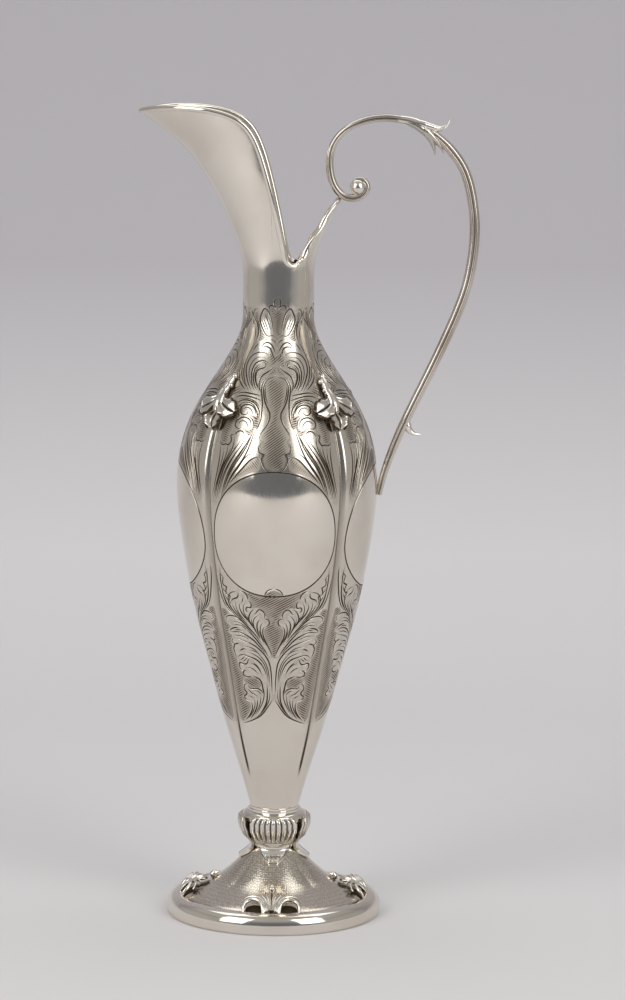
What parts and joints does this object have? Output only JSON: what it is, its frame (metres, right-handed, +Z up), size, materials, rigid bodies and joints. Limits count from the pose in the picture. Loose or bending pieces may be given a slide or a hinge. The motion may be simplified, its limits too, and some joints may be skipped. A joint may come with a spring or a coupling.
{
  "type": "footed ewer",
  "caption": "Tall slender metal ewer: lobed body on a leafy knop and domed foot, cut-away neck with a high pouring lip, scrolled wire handle with leaf mounts",
  "frame": {"origin": "centre of the foot's resting face", "axes": "+Z up along the axis of the body; +X towards the handle, so the pouring lip points to -X; front panel at -Y"},
  "size_m": [0.1335, 0.0848, 0.32],
  "materials": {
    "polished_silver": "polished silver with a warm tone and fine handling scratches",
    "engraved_silver": "polished silver sheet, engraved and matted, oxidised in the cuts",
    "cast_silver": "bright cast and chased silver, dark in its recesses"
  },
  "bodies": {
    "root": {"body_shell": "engraved_silver", "neck_spout": "polished_silver", "rim_wire": "polished_silver", "base_ring": "polished_silver", "knop_core": "polished_silver", "knop_leaf_handle": "cast_silver", "knop_leaf_back": "cast_silver", "knop_leaf_lip": "cast_silver", "knop_leaf_front": "cast_silver", "foot_dome": "engraved_silver", "foot_rim": "polished_silver", "foot_leaf_handle": "cast_silver", "foot_leaf_back": "cast_silver", "foot_leaf_lip": "cast_silver", "foot_leaf_front": "cast_silver", "shoulder_leaf_back_handle": "cast_silver", "shoulder_leaf_back_lip": "cast_silver", "shoulder_leaf_front_lip": "cast_silver", "shoulder_leaf_front_handle": "cast_silver", "handle_scroll": "polished_silver", "handle_sheath": "cast_silver", "handle_stem": "polished_silver", "handle_spur": "cast_silver", "volute_bead": "cast_silver"}
  },
  "joints": []
}
